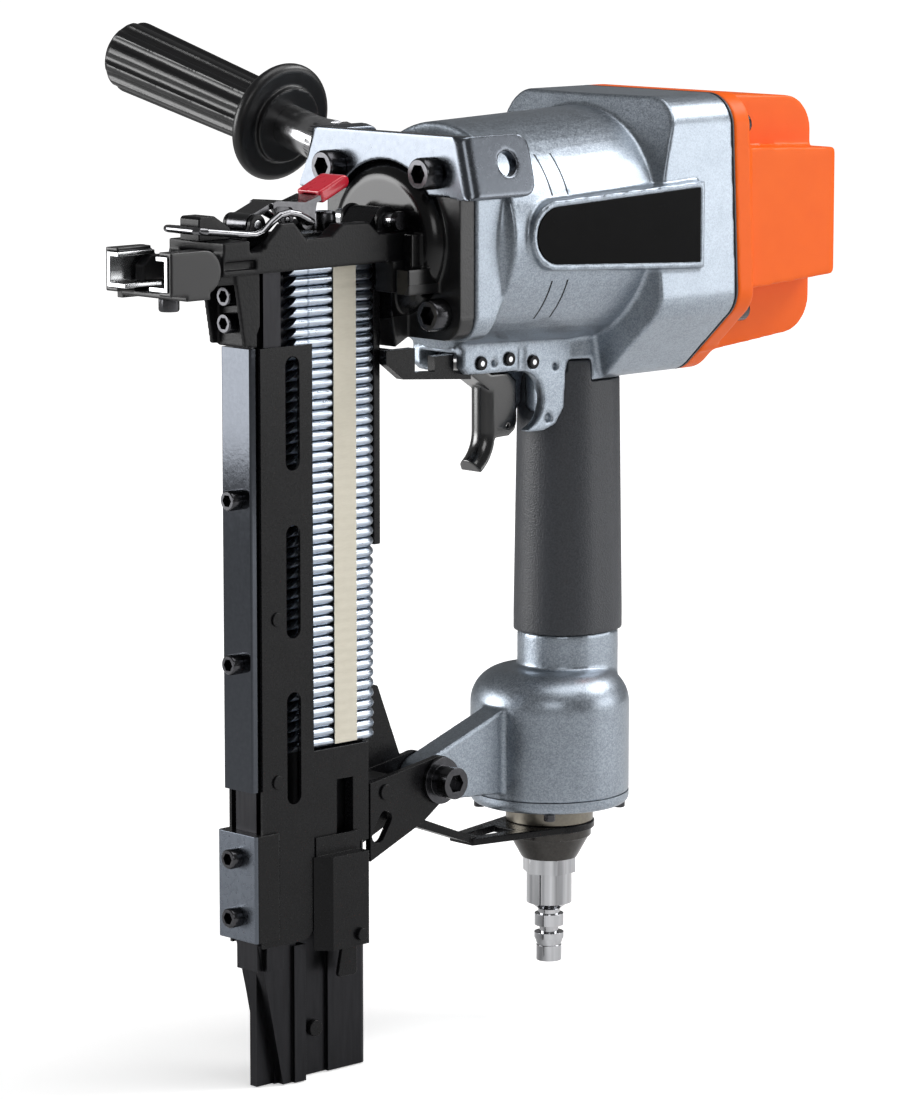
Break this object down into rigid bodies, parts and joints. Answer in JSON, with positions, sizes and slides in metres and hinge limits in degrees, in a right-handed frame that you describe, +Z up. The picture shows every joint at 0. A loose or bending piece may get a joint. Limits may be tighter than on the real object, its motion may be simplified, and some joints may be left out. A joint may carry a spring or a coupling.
{
  "type": "fencing stapler",
  "caption": "Air-driven hand-held fencing stapler with barrel housing, pistol grip, side handle, upright magazine of wire staples, pusher, trigger, contact jaws and hinged nose door.",
  "frame": {"origin": "centre of the hand grip", "axes": "+Z up along the grip, -X the way the tool fires, -Y its left side"},
  "size_m": [0.3505, 0.2406, 0.4122],
  "materials": {
    "silver_cast": "cast, sparkly silver paint",
    "orange_cap": "satin",
    "black_cast": "fine-textured black",
    "black_sheet": "satin black",
    "bracket_steel": "satin dark grey",
    "dark_bolts": "black oxide",
    "steel": "bright",
    "neck_steel": "dark, polished",
    "zinc_wire": "zinc plated",
    "inner_alu": "machined",
    "rail_alu": "black anodised",
    "rubber": "fine grain",
    "black_plastic": "satin",
    "red_vinyl": "glossy",
    "badge_black": "glossy",
    "brass": "dull",
    "black_nut": "satin",
    "chrome": "polished",
    "paper": "cream"
  },
  "bodies": {
    "housing": {"main_housing": "silver_cast", "badges": "badge_black", "cap_gasket": "rubber", "rear_cap": "orange_cap", "cap_bolts": "dark_bolts", "cylinder_sleeve": "inner_alu", "bumper": "rubber", "valve_spring": "steel", "hand_grip": "rubber", "end_cap": "silver_cast", "end_cap_screws": "dark_bolts", "inlet_bush": "brass", "stay_plate": "black_sheet", "cone_nut": "black_nut", "air_plug": "chrome", "trigger_pins": "steel", "valve_body": "black_plastic", "nose_base": "black_cast", "nose_bolts": "dark_bolts", "handle_bracket": "bracket_steel", "bracket_bolts": "dark_bolts", "side_neck": "neck_steel", "side_grip": "black_plastic", "nose_frame": "black_cast", "hinge_pin": "steel", "nose_catch": "black_sheet", "magazine_rail": "rail_alu", "left_plate": "black_sheet", "right_plate": "black_sheet", "plate_rivets": "dark_bolts", "front_bar": "black_sheet", "front_screws": "dark_bolts", "clamp_bracket": "black_sheet", "rear_guide": "black_sheet", "staple_stick": "zinc_wire", "staple_tapes": "paper", "spring_ribbon": "steel", "arm_left": "black_sheet", "arm_right": "black_sheet", "arm_bolt": "dark_bolts"},
    "trigger": {"trigger": "black_sheet"},
    "valve_stem": {"valve_stem": "brass"},
    "safety": {"jaw_plates": "steel", "jaw_covers": "black_plastic", "jaw_screws": "dark_bolts", "safety_link": "black_sheet"},
    "piston": {"piston": "inner_alu", "piston_ring": "rubber", "driver_blade": "steel"},
    "head_valve": {"head_valve": "black_plastic"},
    "pusher": {"pusher_slider": "black_sheet", "spring_box": "black_sheet", "spring_roll": "steel"},
    "release_tab": {"release_tab": "black_sheet"},
    "door": {"nose_door": "black_sheet", "door_screw": "dark_bolts", "lever_pin": "steel"},
    "lever": {"latch_lever": "steel", "lever_grip": "red_vinyl"},
    "bail": {"latch_bail": "steel"}
  },
  "joints": [
    {"name": "trigger_pull", "type": "hinge", "parent": "housing", "child": "trigger", "pos_m": [-0.0655, 0, 0.0765], "axis": [0, -1, 0], "range_deg": [0, 10], "stiffness_Nm_per_rad": 0.6, "springref_deg": -11.46},
    {"name": "stem_push", "type": "slide", "parent": "housing", "child": "valve_stem", "axis": [0, 0, 1], "range_m": [0, 0.0044]},
    {"name": "safety_push", "type": "slide", "parent": "housing", "child": "safety", "axis": [1, 0, 0], "range_m": [0, 0.008], "stiffness_N_per_m": 400, "springref_m": -0.01},
    {"name": "piston_stroke", "type": "slide", "parent": "housing", "child": "piston", "axis": [-1, 0, 0], "range_m": [0, 0.118]},
    {"name": "valve_lift", "type": "slide", "parent": "housing", "child": "head_valve", "axis": [1, 0, 0], "range_m": [0, 0.005], "stiffness_N_per_m": 500, "springref_m": -0.004, "deforming": ["valve_spring"]},
    {"name": "pusher_slide", "type": "slide", "parent": "housing", "child": "pusher", "axis": [0, 0, -1], "range_m": [0, 0.04], "stiffness_N_per_m": 20, "springref_m": -0.6, "deforming": ["spring_ribbon"]},
    {"name": "tab_release", "type": "hinge", "parent": "pusher", "child": "release_tab", "pos_m": [-0.1335, -0.012, -0.1474], "axis": [0, -1, 0], "range_deg": [0, 15], "stiffness_Nm_per_rad": 0.05, "springref_deg": -11.46},
    {"name": "door_open", "type": "hinge", "parent": "housing", "child": "door", "pos_m": [-0.113, 0, 0.137], "axis": [0, 1, 0], "range_deg": [0, 35]},
    {"name": "lever_open", "type": "hinge", "parent": "door", "child": "lever", "pos_m": [-0.179, 0, 0.139], "axis": [0, -1, 0], "range_deg": [0, 100]},
    {"name": "bail_swing", "type": "hinge", "parent": "lever", "child": "bail", "pos_m": [-0.152, 0, 0.1385], "axis": [0, -1, 0], "range_deg": [-100, 0]}
  ],
  "couplings": [
    {"joint": "stem_push", "follows": "trigger_pull", "m_per_rad": 0.0245},
    {"joint": "bail_swing", "follows": "lever_open", "ratio": -1}
  ]
}
